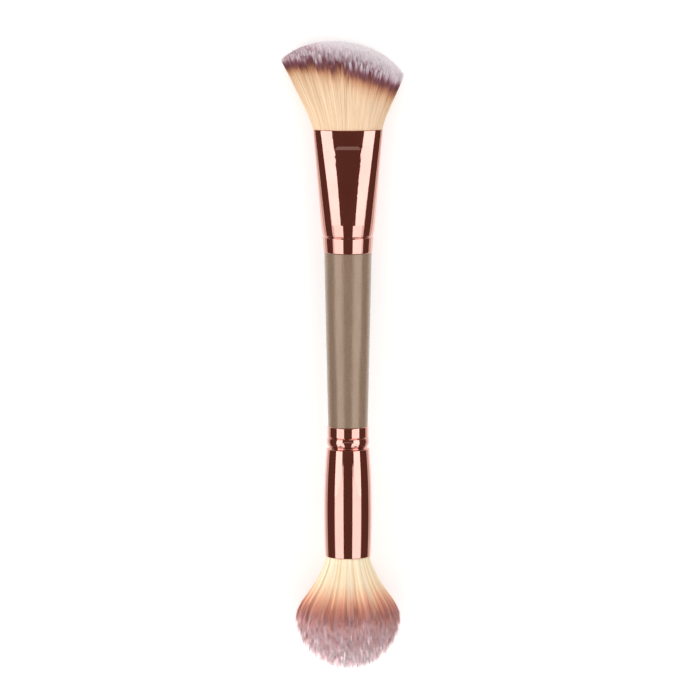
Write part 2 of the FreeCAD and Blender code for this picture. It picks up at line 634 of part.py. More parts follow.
table = DOC.addObject("Part::Box", "table")
table.setExpression("Length", formula("8 * crown_half_width"))
table.setExpression("Width", formula("8 * crown_half_width + 4 * grip_length"))
table.setExpression("Height", formula("crown_half_width"))
heads = []
for name, source in (("powder_bristles", powder_fibres), ("contour_bristles", contour_fibres)):
    head = DOC.addObject("Part::Cut", name)
    head.Label = name
    head.Base, head.Tool = source, table
    heads.append(head)
DOC.recompute()
table.Placement.Base = FreeCAD.Vector(
    -table.Length.Value / 2, -table.Width.Value / 4, -table.Height.Value)
DOC.recompute()

pieces = [handle, contour_ferrule, powder_ferrule, contour_glue_plug, powder_glue_plug] + heads
# The origin goes below the middle of the brush
box = FreeCAD.BoundBox()
for piece in pieces:
    box.add(piece.Shape.optimalBoundingBox(False))
middle = FreeCAD.Vector(box.Center.x, box.Center.y, 0)
for piece in [place[0] for place in places] + [table]:
    piece.Placement.Base = piece.Placement.Base - middle
DOC.recompute()

for item in DOC.Objects:
    if "Invalid" in item.State or "Error" in item.State:
        raise RuntimeError(f"{item.Label} did not build: {item.State}")
for piece in pieces:
    shape = piece.Shape
    if shape.isNull() or not shape.isValid() or len(shape.Solids) != 1:
        raise RuntimeError(f"{piece.Label} is not one sound solid: {len(shape.Solids)}")

os.makedirs("parts", exist_ok=True)
for piece in pieces:
    piece.Shape.exportStep(os.path.join("parts", piece.Label + ".step"))
    print(piece.Label, "volume", round(piece.Shape.Volume, 2), "mm3")
print("slope", round(math.degrees(slope), 3), "box", box)
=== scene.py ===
import math

import bpy
import numpy as np
from mathutils import Matrix, Vector


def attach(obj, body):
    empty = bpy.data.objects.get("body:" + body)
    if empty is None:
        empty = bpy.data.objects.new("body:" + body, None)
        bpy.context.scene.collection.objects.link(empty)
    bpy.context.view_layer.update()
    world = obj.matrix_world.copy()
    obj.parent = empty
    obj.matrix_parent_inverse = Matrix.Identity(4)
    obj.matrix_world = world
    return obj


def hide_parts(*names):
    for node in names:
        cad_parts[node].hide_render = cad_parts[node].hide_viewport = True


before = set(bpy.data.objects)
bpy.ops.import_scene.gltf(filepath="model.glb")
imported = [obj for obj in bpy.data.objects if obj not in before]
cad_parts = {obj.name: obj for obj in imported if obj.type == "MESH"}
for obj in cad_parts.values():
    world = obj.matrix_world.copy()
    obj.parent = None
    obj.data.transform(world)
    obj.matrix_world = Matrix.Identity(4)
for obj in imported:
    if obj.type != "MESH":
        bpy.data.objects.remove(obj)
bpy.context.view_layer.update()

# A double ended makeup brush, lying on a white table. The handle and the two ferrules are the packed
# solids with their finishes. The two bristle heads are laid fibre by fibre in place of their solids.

MM = 0.001

# The brush, in millimetres
# The axis runs from the middle of the powder head towards the contour head and falls a little.
HEAD_MIDDLE = np.array([1.7076, -81.2925, 15.8])
FALL = math.radians(2.279)
AXIS = np.array([0.0, math.cos(FALL), -math.sin(FALL)])
ACROSS = np.array([1.0, 0.0, 0.0])
UPWARD = np.array([0.0, math.sin(FALL), math.cos(FALL)])
POWDER_MOUTH = 19.5
CONTOUR_MOUTH = 151.65

# Round head: its outline is a hollow flare, a tight shoulder and a dome.
POWDER_HEIGHT = 35.6
POWDER_ROOT_RADIUS = 6.5
FIRST_SPLAY = math.radians(17)
FLARE_RADIUS = 38.0
SHOULDER_RADIUS = 10.0
DOME_RADIUS = 16.1
DOME_MIDDLE = POWDER_HEIGHT - DOME_RADIUS
FLARE_MIDDLE = (POWDER_ROOT_RADIUS + FLARE_RADIUS * math.cos(FIRST_SPLAY),
                -FLARE_RADIUS * math.sin(FIRST_SPLAY))

# Slanted head: a fan over an oval mouth, cut by a dome that leans to the right.
MOUTH_HALF_WIDTH = 10.15
MOUTH_HALF_DEPTH = 4.95
LEFT_SPREAD = math.tan(math.radians(26.1))
RIGHT_SPREAD = math.tan(math.radians(23))
DEPTH_SPREAD = 0.2231
CROWN_MIDDLE = (-2.53, 12.73)
CROWN_HALF_AXES = (21.25, 10.51, 14.55)
CROWN_LEAN = math.radians(6.9)

# Real fibres are 0.07 mm thick. They are drawn 0.2 mm thick, so that fewer cover the bundle.
FIBRE_RADIUS = 0.1
# Fibres are drawn from this far inside the ferrule's mouth.
ROOT_DEPTH = 1.5
# The dye map of the slanted head covers this many millimetres below the dipping level.
CONTOUR_DIP = 30.0
# Up the dye map each fibre has one of these rows, which sets its shade. The cores keep to one row.
DYE_ROWS = 64
CORE_ROW = 20
# Every piece of loose fibre is also listed here, for the lamp that lights the heads alone.
HEADS = bpy.data.collections.new("bristle_heads")


# Colour and nodes
def dye(code):
    """An sRGB hex colour as linear red, green, blue and alpha."""
    parts = [int(code[k:k + 2], 16) / 255 for k in (1, 3, 5)]
    return [p / 12.92 if p <= 0.04045 else ((p + 0.055) / 1.055) ** 2.4 for p in parts] + [1.0]


def add(tree, kind, settings=None, values=None, links=None):
    """Adds one node, sets its properties and socket values, and links outputs to its inputs."""
    node = tree.nodes.new(kind)
    for key, value in (settings or {}).items():
        setattr(node, key, value)
    for key, value in (values or {}).items():
        node.inputs[key].default_value = value
    for key, source in (links or {}).items():
        tree.links.new(source, node.inputs[key])
    return node


def stops(node, rows):
    """Fills a colour ramp with rows of (place, hex colour or grey)."""
    ramp = node.color_ramp
    while len(ramp.elements) > 1:
        ramp.elements.remove(ramp.elements[-1])
    for k, (place, colour) in enumerate(rows):
        stop = ramp.elements[0] if k == 0 else ramp.elements.new(place)
        stop.position = place
        stop.color = dye(colour) if isinstance(colour, str) else (colour, colour, colour, 1)
    return node


def empty_material(name):
    """A material without nodes, and its tree."""
    material = bpy.data.materials.new(name)
    material.use_nodes = True
    material.node_tree.nodes.clear()
    return material, material.node_tree


def new_material(name, surface=None):
    """A material with its shader on the output. Returns the material, tree and shader."""
    material, tree = empty_material(name)
    shader = add(tree, "ShaderNodeBsdfPrincipled", values=surface or {})
    add(tree, "ShaderNodeOutputMaterial", links={"Surface": shader.outputs["BSDF"]})
    return material, tree, shader


# Finishes
def rose_gold_anodised():
    """Drawn aluminium tube, polished, then anodised rose gold: a warm mirror in which faint lines
    from the drawing die run along the tube, and a thin dye that varies by a shade."""
    material, tree, shader = new_material("rose_gold_anodised_aluminium", {"Metallic": 1.0})
    place = add(tree, "ShaderNodeTexCoord").outputs["Object"]
    # Die lines are about 0.02 mm apart. They are drawn 0.25 mm apart so that they show.
    drawn = add(tree, "ShaderNodeMapping", values={"Scale": (4000, 90, 4000)}, links={"Vector": place})
    lines = add(tree, "ShaderNodeTexNoise", values={"Scale": 1.0, "Detail": 2.0, "Roughness": 0.5},
                links={"Vector": drawn.outputs[0]})
    # The dye bath leaves cloudy patches about 8 mm across.
    cloud = add(tree, "ShaderNodeTexNoise", values={"Scale": 125.0, "Detail": 2.0},
                links={"Vector": place})
    tint = stops(add(tree, "ShaderNodeValToRGB", links={"Fac": cloud.outputs["Fac"]}),
                 [(0.3, "#e5ada2"), (0.7, "#ebb4a9")])
    tree.links.new(tint.outputs["Color"], shader.inputs["Base Color"])
    gloss = add(tree, "ShaderNodeMapRange", values={"To Min": 0.03, "To Max": 0.08},
                links={"Value": lines.outputs["Fac"]})
    tree.links.new(gloss.outputs["Result"], shader.inputs["Roughness"])
    relief = add(tree, "ShaderNodeBump", values={"Strength": 0.05, "Distance": 0.00002},
                 links={"Height": lines.outputs["Fac"]})
    tree.links.new(relief.outputs["Normal"], shader.inputs["Normal"])
    return material


def taupe_pearl_lacquered_wood():
    """Turned hardwood under a sprayed taupe lacquer with fine pearl flakes: a satin colour that
    brightens in soft bands along the handle, with the pores of the wood just showing through."""
    material, tree, shader = new_material("taupe_pearl_lacquered_wood", {
        "Metallic": 0.3, "Coat Weight": 0.3, "Coat Roughness": 0.2, "Coat IOR": 1.5, "IOR": 1.5})
    place = add(tree, "ShaderNodeTexCoord").outputs["Object"]
    # Pores are about 0.1 mm wide and a few millimetres long. They are drawn 0.5 mm wide.
    stretched = add(tree, "ShaderNodeMapping", values={"Scale": (2000, 160, 2000)},
                    links={"Vector": place})
    pores = add(tree, "ShaderNodeTexNoise", values={"Scale": 1.0, "Detail": 3.0, "Roughness": 0.6},
                links={"Vector": stretched.outputs[0]})
    # Lacquer orange peel has waves of about 1.5 mm.
    peel = add(tree, "ShaderNodeTexNoise", values={"Scale": 650.0, "Detail": 1.0},
               links={"Vector": place})
    tint = stops(add(tree, "ShaderNodeValToRGB", links={"Fac": pores.outputs["Fac"]}),
                 [(0.25, "#8a7360"), (0.5, "#957d69"), (0.8, "#9d8571")])
    tree.links.new(tint.outputs["Color"], shader.inputs["Base Color"])
    gloss = add(tree, "ShaderNodeMapRange", values={"To Min": 0.24, "To Max": 0.32},
                links={"Value": peel.outputs["Fac"]})
    tree.links.new(gloss.outputs["Result"], shader.inputs["Roughness"])
    height = add(tree, "ShaderNodeMath", {"operation": "ADD"},
                 links={0: pores.outputs["Fac"], 1: peel.outputs["Fac"]})
    relief = add(tree, "ShaderNodeBump", values={"Strength": 0.1, "Distance": 0.00004},
                 links={"Height": height.outputs[0]})
    tree.links.new(relief.outputs["Normal"], shader.inputs["Normal"])
    return material


def dipped_fibre(name, bands, depth, darkest, lightest):
    """Extruded polyester fibre, its end dipped in dyes: a soft sheen along each fibre, and bands
    of colour whose edges are ragged because no two fibres drew the dye up alike. The shades of
    its loose ends run from darkest to lightest, as shares of the band's colour."""
    material, tree, shader = new_material(name, {
        "IOR": 1.53, "Sheen Weight": 0.1, "Sheen Roughness": 0.45, "Sheen Tint": (1, 1, 1, 1),
        "Roughness": 0.5, "Specular IOR Level": 0.35})
    # Across the map runs the depth from the fibre's tip, up it the fibre's own row.
    drawn = add(tree, "ShaderNodeUVMap", {"uv_map": "OFBake"})
    split = add(tree, "ShaderNodeSeparateXYZ", links={"Vector": drawn.outputs["UV"]})
    row = add(tree, "ShaderNodeMath", {"operation": "MULTIPLY"}, {1: float(DYE_ROWS)},
              links={0: split.outputs["Y"]})
    step = add(tree, "ShaderNodeMath", {"operation": "FLOOR"}, links={0: row.outputs[0]})
    own = add(tree, "ShaderNodeTexWhiteNoise", {"noise_dimensions": "1D"},
              links={"W": step.outputs[0]})
    band = stops(add(tree, "ShaderNodeValToRGB", links={"Fac": split.outputs["X"]}),
                 [(place / depth, colour) for place, colour in bands])
    # Loose ends are lighter or darker than their neighbours. At the roots all are packed alike.
    shade = add(tree, "ShaderNodeMapRange", values={"To Min": darkest, "To Max": lightest},
                links={"Value": own.outputs["Value"]})
    loose = add(tree, "ShaderNodeMapRange", values={"From Min": 0.2, "From Max": 0.55,
                                                    "To Min": 1.0, "To Max": 0.25},
                links={"Value": split.outputs["X"]})
    mixed = add(tree, "ShaderNodeMix", {"data_type": "RGBA", "blend_type": "MULTIPLY"},
                links={"Factor": loose.outputs["Result"], "A": band.outputs["Color"],
                       "B": shade.outputs["Result"]})
    tree.links.new(mixed.outputs["Result"], shader.inputs["Base Color"])
    return material


def seen_directly(tree):
    """1 where the camera or a mirror looks at the surface, and 0 where it only gives light."""
    path = add(tree, "ShaderNodeLightPath").outputs
    seen = path["Is Camera Ray"]
    for ray in ("Is Glossy Ray", "Is Transmission Ray"):
        either = add(tree, "ShaderNodeMath", {"operation": "MAXIMUM"}, links={0: seen, 1: path[ray]})
        seen = either.outputs[0]
    return seen


def plain_studio(name, colour, glow):
    """A surface of the studio: matt, and with a glow that only the camera and mirrors see."""
    material, tree = empty_material(name)
    matt = add(tree, "ShaderNodeBsdfDiffuse", values={"Color": dye(colour)})
    strength = add(tree, "ShaderNodeMath", {"operation": "MULTIPLY"}, {1: glow},
                   links={0: seen_directly(tree)})
    light = add(tree, "ShaderNodeEmission", values={"Color": (1, 1, 1, 1)},
                links={"Strength": strength.outputs[0]})
    both = add(tree, "ShaderNodeAddShader", links={0: matt.outputs[0], 1: light.outputs[0]})
    add(tree, "ShaderNodeOutputMaterial", links={"Surface": both.outputs[0]})
    return material


def glowing_card(name, colour):
    """Card of one even tone, as the metal mirrors it."""
    material, tree = empty_material(name)
    tone = add(tree, "ShaderNodeEmission", values={"Color": dye(colour), "Strength": 1.0})
    add(tree, "ShaderNodeOutputMaterial", links={"Surface": tone.outputs[0]})
    return material


# Places on the brush
def on_brush(distance, across, up):
    """Millimetres along, across and above the axis, as points in metres."""
    distance, across, up = np.broadcast_arrays(distance, across, up)
    points = (HEAD_MIDDLE + distance[..., None] * AXIS + across[..., None] * ACROSS
              + up[..., None] * UPWARD)
    return points * MM


def crown_height(wide, deep):
    """Height over the mouth at which a fibre of the slanted head meets the dome."""
    spread = np.where(wide < 0, LEFT_SPREAD, RIGHT_SPREAD)
    lean, rise = math.sin(CROWN_LEAN), math.cos(CROWN_LEAN)
    x0, x1 = wide * MOUTH_HALF_WIDTH - CROWN_MIDDLE[0], wide * spread
    y0, y1 = deep * MOUTH_HALF_DEPTH, deep * DEPTH_SPREAD
    z0 = -CROWN_MIDDLE[1]
    # The dome's own axes: its long one falls towards the right.
    u0, u1 = (x0 * rise - z0 * lean), (x1 * rise - lean)
    w0, w1 = (x0 * lean + z0 * rise), (x1 * lean + rise)
    a, b, c = CROWN_HALF_AXES
    p = (u1 / a) ** 2 + (y1 / b) ** 2 + (w1 / c) ** 2
    q = u0 * u1 / a ** 2 + y0 * y1 / b ** 2 + w0 * w1 / c ** 2
    r = (u0 / a) ** 2 + (y0 / b) ** 2 + (w0 / c) ** 2 - 1
    return (-q + np.sqrt(np.maximum(q * q - p * r, 0))) / p


def contour_across(wide, height):
    """Distance from the axis, towards the short side, of a fibre of the slanted head."""
    spread = np.where(wide < 0, LEFT_SPREAD, RIGHT_SPREAD)
    return wide * (MOUTH_HALF_WIDTH + spread * np.maximum(height, 0))


def contour_point(wide, deep, height):
    """A point of the slanted head. wide and deep run from -1 to 1 over the oval mouth."""
    y = deep * (MOUTH_HALF_DEPTH + DEPTH_SPREAD * np.maximum(height, 0))
    return on_brush(CONTOUR_MOUTH + height, contour_across(wide, height), y)


def contour_dye(wide, height):
    """Millimetres below the level to which the slanted head was dipped. The bundle was dipped
    before its crown was cut, so the level is flatter than the crown and slants like it."""
    x = contour_across(wide, height)
    return 28.2 - 0.345 * x - 0.008 * x * x - height


def shoulder_middle():
    """Middle of the arc that joins flare and dome: it touches both."""
    to_flare, to_dome = FLARE_RADIUS + SHOULDER_RADIUS, DOME_RADIUS - SHOULDER_RADIUS
    apart = math.hypot(FLARE_MIDDLE[0], DOME_MIDDLE - FLARE_MIDDLE[1])
    along = (apart ** 2 + to_dome ** 2 - to_flare ** 2) / (2 * apart)
    aside = math.sqrt(to_dome ** 2 - along ** 2)
    x, y = FLARE_MIDDLE[0] / apart, (FLARE_MIDDLE[1] - DOME_MIDDLE) / apart
    return along * x - aside * y, DOME_MIDDLE + along * y + aside * x


SHOULDER_MIDDLE = shoulder_middle()
SHOULDER_STARTS = FLARE_MIDDLE[1] + (SHOULDER_MIDDLE[1] - FLARE_MIDDLE[1]) * FLARE_RADIUS / (
    FLARE_RADIUS + SHOULDER_RADIUS)
DOME_STARTS = DOME_MIDDLE + (SHOULDER_MIDDLE[1] - DOME_MIDDLE) * DOME_RADIUS / (
    DOME_RADIUS - SHOULDER_RADIUS)


def powder_outline(height):
    """Radius of the round head at a height over its mouth."""
    flare = FLARE_MIDDLE[0] - np.sqrt(FLARE_RADIUS ** 2
                                      - (np.minimum(height, SHOULDER_STARTS) - FLARE_MIDDLE[1]) ** 2)
    shoulder = SHOULDER_MIDDLE[0] + np.sqrt(np.maximum(
        SHOULDER_RADIUS ** 2 - (height - SHOULDER_MIDDLE[1]) ** 2, 0))
    dome = np.sqrt(np.maximum(DOME_RADIUS ** 2 - (height - DOME_MIDDLE) ** 2, 0))
    return np.where(height < SHOULDER_STARTS, flare, np.where(height < DOME_STARTS, shoulder, dome))


# The outermost fibres flare as the outline does up to 12 mm, and straighten up to 21 mm. They leave
# the flare at the first of these slopes and run on at the second, across for each millimetre along.
FLARED_SLOPE, STRAIGHT_SLOPE = 0.766, 0.26
STEP_TABLE = np.linspace(0, 40, 401)
STEEP = (STEP_TABLE - FLARE_MIDDLE[1]) / np.sqrt(
    np.maximum(FLARE_RADIUS ** 2 - (STEP_TABLE - FLARE_MIDDLE[1]) ** 2, 1))
EASE = np.interp(STEP_TABLE, [0, 12, 21, 40], [0, 0, 1, 1])
SLOPE_TABLE = np.where(STEP_TABLE < 12, STEEP, FLARED_SLOPE * (1 - EASE) + STRAIGHT_SLOPE * EASE)
SPREAD_TABLE = powder_outline(np.zeros(1))[0] + np.concatenate(
    [[0], np.cumsum((SLOPE_TABLE[1:] + SLOPE_TABLE[:-1]) / 2) * (STEP_TABLE[1] - STEP_TABLE[0])])


def powder_spread(height):
    """Radius that the outermost fibre would have at a height."""
    return np.interp(height, STEP_TABLE, SPREAD_TABLE)


def powder_tip(share):
    """Height at which a fibre with this share of the spread meets the outline."""
    low, high = np.full_like(share, 12.0), np.full_like(share, POWDER_HEIGHT)
    for _ in range(30):
        middle = (low + high) / 2
        inside = share * powder_spread(middle) < powder_outline(middle)
        low, high = np.where(inside, middle, low), np.where(inside, high, middle)
    return low


def powder_point(share, turn, height):
    """A point of the round head: share of the spread, angle round the axis, height over the mouth."""
    radius = share * powder_spread(np.maximum(height, 0))
    return on_brush(POWDER_MOUTH - height, radius * np.sin(turn), radius * np.cos(turn))


# Meshes
def keep_mesh(name, points, faces, places, material, nodes, smooth=False):
    """Makes a closed mesh with its dye map, and lets it stand for CAD nodes."""
    mesh = bpy.data.meshes.new(name)
    mesh.from_pydata(points, [], faces, shade_flat=not smooth)
    layer = mesh.uv_layers.new(name="OFBake", do_init=False)
    layer.uv.foreach_set("vector", np.ascontiguousarray(places, np.float32).ravel())
    mesh.materials.append(material)
    mesh.update()
    piece = bpy.data.objects.new(name, mesh)
    bpy.context.scene.collection.objects.link(piece)
    HEADS.objects.link(piece)
    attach(piece, "root")
    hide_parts(*nodes)
    return piece


def lay_fibres(name, lines, thickness, depths, rows, material, nodes):
    """Each line of lines is one fibre, root first: three sides that taper to a point.
    depths holds its place along the dye map at every point of the line."""
    count, steps, _ = lines.shape
    rings = steps - 1
    # No fibre goes through the table: it bends and lies along it.
    taper = np.linspace(1.0, 0.62, rings) * MM
    thick = thickness[:, None] * taper
    lines = lines.copy()
    lines[:, :rings, 2] = np.maximum(lines[:, :rings, 2], thick + 0.00002)
    lines[:, rings, 2] = np.maximum(lines[:, rings, 2], 0.00004)
    run = lines[:, -1] - lines[:, 0]
    run /= np.linalg.norm(run, axis=1, keepdims=True)
    side = np.cross(run, np.array([0.31, 0.12, 0.94]))
    side /= np.linalg.norm(side, axis=1, keepdims=True)
    over = np.cross(run, side)
    spin = (rows * 2.399)[:, None] + np.arange(3) * (2 * np.pi / 3)
    out = np.cos(spin)[..., None] * side[:, None] + np.sin(spin)[..., None] * over[:, None]
    ring = lines[:, :rings, None] + out[:, None] * thick[..., None, None]
    points = np.concatenate([ring.reshape(count, rings * 3, 3), lines[:, rings:]], axis=1)
    # One fibre's triangles, as (point, step along the fibre, side of the fibre).
    corners = [((0, 0, 0), (2, 0.6, 1.5), (1, 0, 3))]
    for k in range(rings - 1):
        for s in range(3):
            a, b = 3 * k + s, 3 * k + (s + 1) % 3
            corners.append(((a, k, s), (b, k, s + 1), (b + 3, k + 1, s + 1)))
            corners.append(((a, k, s), (b + 3, k + 1, s + 1), (a + 3, k + 1, s)))
    for s in range(3):
        a, b = 3 * (rings - 1) + s, 3 * (rings - 1) + (s + 1) % 3
        corners.append(((a, rings - 1, s), (b, rings - 1, s + 1), (3 * rings, rings, s + 0.5)))
    corners = np.array(corners, float)
    faces = corners[..., 0].astype(int)[None] + (np.arange(count) * (3 * rings + 1))[:, None, None]
    step = corners[..., 1]
    low = np.floor(step).astype(int)
    part = step - low
    high = np.minimum(low + 1, steps - 1)
    across = depths[:, low] * (1 - part) + depths[:, high] * part
    upward = (rows[:, None, None] + 0.1 + 0.8 * corners[..., 2] / 3) / DYE_ROWS
    places = np.stack([np.clip(across, 0.002, 0.998), np.broadcast_to(upward, across.shape)], axis=-1)
    return keep_mesh(name, points.reshape(-1, 3), faces.reshape(-1, 3), places.reshape(-1, 2),
                     material, nodes)


def lay_core(name, rings, depths, material, nodes):
    """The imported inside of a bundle: closed rings from root to crown, with a point at each end.
    It sits just under the outer fibres, so that no daylight shows between them."""
    count, around, _ = rings.shape
    rings = rings.copy()
    rings[..., 2] = np.maximum(rings[..., 2], 0.0001)
    points = np.concatenate([rings[0].mean(axis=0)[None], rings.reshape(-1, 3),
                             rings[-1].mean(axis=0)[None]])
    faces, places = [], []

    def row(j):
        """The core keeps to one row of the dye map, so that it has one shade all round."""
        return (CORE_ROW + 0.1 + 0.8 * j / (around + 1)) / DYE_ROWS

    def corner(k, j):
        return 1 + k * around + j % around, (depths[k, j % around], row(j))

    for j in range(around):
        near, far = corner(0, j), corner(0, j + 1)
        root = (0, (depths[0, j] + 0.02, row(j + 0.5)))
        trios = [(root, far, near)]
        for k in range(count - 1):
            a, b, c, d = corner(k, j), corner(k, j + 1), corner(k + 1, j + 1), corner(k + 1, j)
            trios += [(a, b, c), (a, c, d)]
        near, far = corner(count - 1, j), corner(count - 1, j + 1)
        tip = (len(points) - 1, (depths[-1, j] - 0.02, row(j + 0.5)))
        trios.append((near, far, tip))
        for trio in trios:
            faces.append([p[0] for p in trio])
            places += [p[1] for p in trio]
    return keep_mesh(name, points, faces, np.clip(np.array(places), 0.002, 0.998),
                     material, nodes, smooth=True)


# Locks
def strew(rng, count, ring):
    """Places on a mouth of radius 1, evenly strewn over a ring."""
    turn = rng.uniform(0, 2 * np.pi, count)
    share = np.sqrt(rng.uniform(ring[0] ** 2, ring[1] ** 2, count))
    return np.stack([share * np.sin(turn), share * np.cos(turn)], axis=1)


def gather(place, lock_at, pull):
    """Draws each fibre towards its nearest lock. pull has one value for each point of the fibre."""
    nearest = np.argmin(((place[:, None] - lock_at[None]) ** 2).sum(axis=2), axis=1)
    return place[:, None] + (lock_at[nearest] - place)[:, None] * pull[..., None], nearest


def bundle_core(name, share, top_at, point_at, dye_at, material, nodes):
    """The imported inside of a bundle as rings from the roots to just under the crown."""
    turn = np.linspace(0, 2 * np.pi, 128, endpoint=False)
    sides = [(share, part) for part in np.linspace(0, 1, 24)]
    crown = [(share * c, 1.0) for c in np.cos(np.linspace(0, np.pi / 2, 18)[1:-1])]
    rings, depths = [], []
    for near, part in sides + crown:
        wide, deep = near * np.sin(turn), near * np.cos(turn)
        height = (top_at(wide, deep) + ROOT_DEPTH) * part - ROOT_DEPTH
        rings.append(point_at(wide, deep, height))
        depths.append(dye_at(wide, height))
    lay_core(name, np.array(rings), np.array(depths), material, nodes)


# The slanted head
def contour_head(material):
    rng = np.random.default_rng(7)
    slot, nodes = "contour_fibre", ["contour_bristles"]
    # Each lock has its own length and dye. The crown is even in its middle and ragged at its rim.
    locks = 2200
    lock_at = strew(rng, locks, (0.0, 1.0))
    lock_short = np.abs(rng.normal(0, 1, locks)) * (0.1 + 1.7 * np.abs(lock_at[:, 1]) ** 1.2)
    lock_dye = rng.normal(0, 0.4, locks)
    # Locks at the rim differ most in how pale their ends stayed. Those on the left, the long side, are
    # painted paler still: painted light from the left.
    rim = np.abs(lock_at[:, 1]) ** 3
    lock_pale = 3.5 - 2.5 * rim + rng.uniform(-1, 1, locks) * (0.8 + 3.2 * rim)
    # Painted light: the ends of locks on the left are lightened, as if lit more from the left.
    lock_pale += 2.5 * np.maximum(-lock_at[:, 0], 0)

    def ragged_top(wide, deep):
        """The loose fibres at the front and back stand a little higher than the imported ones, most of
        all on the long side."""
        return crown_height(wide, deep * (0.8 - 0.3 * np.clip(-wide, 0, 1)))

    # Fibres that stand all round the outside are drawn whole, those inside over their last stretch.
    # For each set: how many, the ring of the mouth that they fill, that stretch, and their points.
    for name, count, ring, stretch, steps in (
            ("contour_outer_fibres_1", 3600, (0.95, 0.985), None, 5),
            ("contour_outer_fibres_2", 3600, (0.95, 0.985), None, 5),
            ("contour_crown_fibres_1", 8500, (0.0, 0.97), (5.0, 9.0), 4),
            ("contour_crown_fibres_2", 8500, (0.0, 0.97), (5.0, 9.0), 4)):
        place = strew(rng, count, ring)
        nearest = gather(place, lock_at, np.zeros((count, 1)))[1]
        end = (ragged_top(place[:, 0], place[:, 1]) - lock_short[nearest]
               - np.abs(rng.normal(0, 0.12, count)))
        start = np.full(count, -ROOT_DEPTH) if stretch is None else end - rng.uniform(*stretch, count)
        along = np.linspace(0, 1, steps)
        height = start[:, None] + (end - start)[:, None] * along
        from_tip = end[:, None] - height
        drift = gather(place, lock_at, 0.5 * np.clip(1 - from_tip / 7, 0, 1))[0]
        # Fibres lean a little out of line, more towards their tips.
        drift = drift + rng.normal(0, 0.008, (count, 1, 2)) * (along ** 1.5)[None, :, None]
        points = contour_point(drift[..., 0], drift[..., 1], height)
        # The dye drew up unevenly, and each fibre's thin end stayed paler. On the left this paleness is
        # also painted light.
        own = (lock_dye[nearest] + rng.normal(0, 0.3, count))[:, None]
        pale = np.clip(1 - from_tip / 4.0, 0, 1) * lock_pale[nearest][:, None]
        depth = (contour_dye(place[:, :1], height) + own - pale) / CONTOUR_DIP
        lay_fibres(name, points, rng.uniform(0.85, 1.2, count) * FIBRE_RADIUS, depth,
                   rng.integers(0, DYE_ROWS, count), material, nodes)
    bundle_core("contour_bundle_core", 0.955,
                lambda wide, deep: ragged_top(wide, deep) - 0.5 - 3.5 * np.abs(deep) ** 1.5,
                contour_point, lambda wide, height: contour_dye(wide, height) / CONTOUR_DIP,
                material, nodes)


# The round head
def powder_head(material):
    rng = np.random.default_rng(11)
    slot, nodes = "powder_fibre", ["powder_bristles"]
    locks = 1500
    lock_at = strew(rng, locks, (0.0, 1.0))
    lock_short = np.abs(rng.normal(0, 1.1, locks))
    lock_dye = rng.normal(0, 0.7, locks)
    lock_pale = rng.uniform(-10.0, 12.0, locks)

    def spread_point(wide, deep, height):
        return powder_point(np.hypot(wide, deep), np.arctan2(wide, deep), height)

    # As for the slanted head, and last how far each fibre is drawn to its lock.
    for name, count, ring, stretch, steps, pull in (
            ("powder_outer_fibres_1", 3100, (0.93, 0.985), None, 7, 0.15),
            ("powder_outer_fibres_2", 3100, (0.93, 0.985), None, 7, 0.15),
            ("powder_dome_fibres_1", 8300, (0.0, 0.975), (8.0, 14.0), 4, 0.75),
            ("powder_dome_fibres_2", 8300, (0.0, 0.975), (8.0, 14.0), 4, 0.75)):
        place = strew(rng, count, ring)
        nearest = gather(place, lock_at, np.zeros((count, 1)))[1]
        end = (powder_tip(np.hypot(place[:, 0], place[:, 1])) + 0.5 - lock_short[nearest]
               - np.abs(rng.normal(0, 0.3, count)))
        start = np.full(count, -ROOT_DEPTH) if stretch is None else end - rng.uniform(*stretch, count)
        along = np.linspace(0, 1, steps)
        height = start[:, None] + (end - start)[:, None] * along
        from_tip = end[:, None] - height
        drift = gather(place, lock_at, pull * np.clip(1 - from_tip / 9, 0, 1))[0]
        drift = drift + rng.normal(0, 0.01, (count, 1, 2)) * (along ** 1.5)[None, :, None]
        points = spread_point(drift[..., 0], drift[..., 1], height)
        # Over the dome some locks turn paler towards their tips, and others stay dark.
        pale = (lock_pale[nearest][:, None] * np.clip(1 - from_tip / 5.5, 0, 1)
                * np.clip((height - 15) / 7, 0, 1))
        pale = np.maximum(pale, np.minimum(17.5 - height, 0))
        level = height + (lock_dye[nearest] + rng.normal(0, 0.5, count))[:, None] + pale
        lay_fibres(name, points, rng.uniform(0.85, 1.2, count) * FIBRE_RADIUS,
                   1 - level / POWDER_HEIGHT, (nearest * 7) % DYE_ROWS,
                   material, nodes)
    bundle_core("powder_bundle_core", 0.94,
                lambda wide, deep: powder_tip(np.hypot(wide, deep)) - 1.9,
                spread_point, lambda wide, height: 1 - height / POWDER_HEIGHT,
                material, nodes)


# Dressing the brush
metal = rose_gold_anodised()
wood = taupe_pearl_lacquered_wood()
# Dye bands: millimetres below the dipping level, or below the tip of the round head, and the dye
# there. Fibres shade each other, so some dyes are written lighter than the bundle looks.
contour_fibre = dipped_fibre("dip_dyed_polyester_fibre_contour", [
    (0.0, "#f6eef1"), (3.0, "#efe4e9"), (4.6, "#e4d1d9"), (5.8, "#c79fac"), (6.8, "#9f6873"),
    (7.8, "#8b535e"), (9.2, "#8a504e"), (10.2, "#a66a54"), (11.4, "#c68b6b"), (13.0, "#dbb08b"),
    (15.0, "#e4c3a0"), (18.0, "#e6caaa"), (30.0, "#e9ceaf")], CONTOUR_DIP, 0.75, 1.15)
powder_fibre = dipped_fibre("dip_dyed_polyester_fibre_powder", [
    (0.0, "#f9e8ea"), (4.6, "#f2dbde"), (8.6, "#e6c1c6"), (13.1, "#c9a0a2"), (16.6, "#c79491"),
    (19.0, "#cb8b7e"), (20.6, "#cf917e"), (22.6, "#e2aa8e"), (25.0, "#edc9a9"), (28.0, "#efdcbf"),
    (35.4, "#f0e1c6")], POWDER_HEIGHT, 0.5, 1.5)

